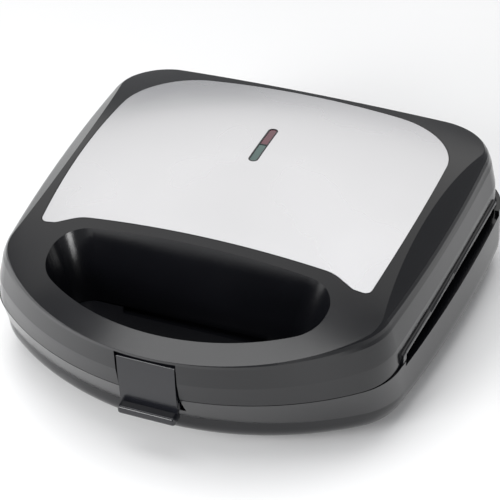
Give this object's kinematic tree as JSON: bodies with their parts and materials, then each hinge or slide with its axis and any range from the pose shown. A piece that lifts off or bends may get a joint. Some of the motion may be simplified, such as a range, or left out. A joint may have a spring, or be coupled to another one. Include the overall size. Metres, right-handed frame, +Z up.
{
  "type": "panini press",
  "caption": "Hinged electric contact sandwich press with a domed steel-topped lid, front handle recess, indicator lenses, sprung front latch and ribbed grill plates",
  "frame": {"origin": "Middle of the footprint at the height of the floor under the feet, lid closed", "axes": "+Z up, -Y towards the latch and handle, +X to the right when facing the latch, lid hinge at +Y"},
  "size_m": [0.2418, 0.2558, 0.088],
  "materials": {
    "black_shell": "semi-gloss black moulded plastic",
    "latch_plastic": "semi-gloss black moulded plastic",
    "black_trim": "black moulded plastic",
    "steel_sheet": "fine satin stainless steel",
    "red_lens": "dark red transparent lens, unlit",
    "green_lens": "dark green transparent lens, unlit",
    "white_insulator": "off-white heat-resistant plastic",
    "lamp_glass": "clear glass",
    "grill_coating": "dark non-stick coating on die-cast aluminium",
    "heater_sheath": "heat-dulled steel sheath",
    "plated_steel": "zinc-plated steel",
    "thermostat_metal": "pressed aluminium",
    "fuse_ceramic": "glazed ceramic",
    "brass_screw": "turned brass",
    "black_rubber": "black rubber",
    "pin_steel": "ground steel"
  },
  "bodies": {
    "base": {"base_housing": "black_shell", "lower_plate": "grill_coating", "lower_heater": "heater_sheath", "lower_reflector": "plated_steel", "lower_fuse": "fuse_ceramic", "lower_plate_screws": "plated_steel", "terminal_block": "white_insulator", "terminal_screws": "brass_screw", "cord_inlet": "black_rubber", "hinge_pins": "pin_steel", "foot_1": "black_rubber", "foot_2": "black_rubber", "foot_3": "black_rubber", "foot_4": "black_rubber"},
    "lid": {"lid_housing": "black_shell", "steel_panel": "steel_sheet", "lens_bezel": "black_trim", "red_lens": "red_lens", "green_lens": "green_lens", "lamp_holder": "white_insulator", "power_lamp": "lamp_glass", "ready_lamp": "lamp_glass", "upper_plate": "grill_coating", "upper_heater": "heater_sheath", "upper_reflector": "plated_steel", "upper_plate_screws": "plated_steel", "thermostat": "thermostat_metal", "latch_pin": "pin_steel", "latch_spring": "pin_steel"},
    "latch": {"latch": "latch_plastic"}
  },
  "joints": [
    {"name": "lid_hinge", "type": "hinge", "parent": "base", "child": "lid", "pos_m": [0, 0.1225, 0.04], "axis": [-1, 0, 0], "range_deg": [0, 105]},
    {"name": "latch_pivot", "type": "hinge", "parent": "lid", "child": "latch", "pos_m": [0, -0.1205, 0.0575], "axis": [-1, 0, 0], "range_deg": [0, 25], "stiffness_Nm_per_rad": 0.05, "springref_deg": -5.73}
  ]
}
